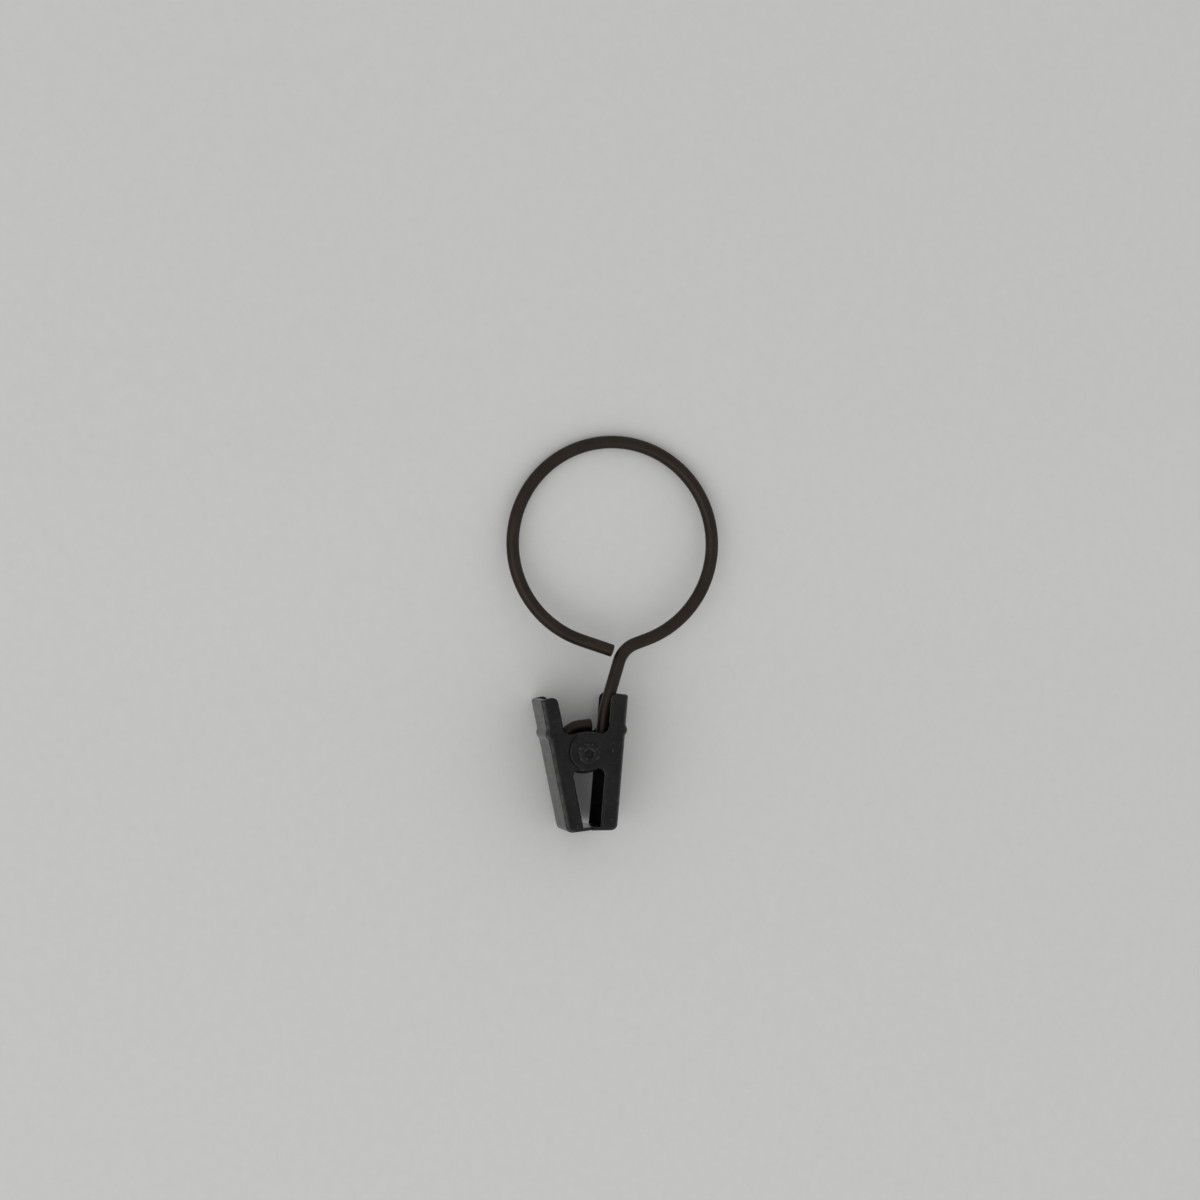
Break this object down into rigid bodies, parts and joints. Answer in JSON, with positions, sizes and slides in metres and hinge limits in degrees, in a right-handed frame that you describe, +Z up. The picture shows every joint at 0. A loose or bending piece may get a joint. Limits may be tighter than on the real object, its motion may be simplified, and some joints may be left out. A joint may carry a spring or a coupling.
{
  "type": "curtain ring with clip",
  "caption": "Bent-wire curtain ring with a neck, shank and eye that carries a sprung sheet-metal clip, black painted, for hanging a curtain from a rod.",
  "frame": {"origin": "centre of the ring, on the axis of the rod it hangs on", "axes": "+Y along the rod, away from the rolled end of the rivet; +Z up, from the clip's lips to its handles; +X right as seen from the rivet's rolled end"},
  "size_m": [0.034, 0.0115, 0.0615],
  "materials": {
    "wire_paint": "satin black paint",
    "clip_paint": "satin black paint, a little rubbed",
    "rivet_paint": "satin black paint",
    "spring_steel": "bare spring steel"
  },
  "bodies": {
    "ring": {"wire_ring": "wire_paint"},
    "fixed_jaw": {"outer_jaw": "clip_paint", "pivot_rivet": "rivet_paint", "torsion_spring": "spring_steel"},
    "moving_jaw": {"inner_jaw": "clip_paint"}
  },
  "joints": [
    {"name": "clip_swing", "type": "hinge", "parent": "ring", "child": "fixed_jaw", "pos_m": [-0.00683, 0, -0.03242], "axis": [0, 1, 0], "range_deg": [-1.5, 24]},
    {"name": "jaw_open", "type": "hinge", "parent": "fixed_jaw", "child": "moving_jaw", "pos_m": [-0.00683, 0, -0.03242], "axis": [0, 1, 0], "range_deg": [0, 30], "stiffness_Nm_per_rad": 0.12, "springref_deg": -28.65, "deforming": ["torsion_spring"]}
  ]
}
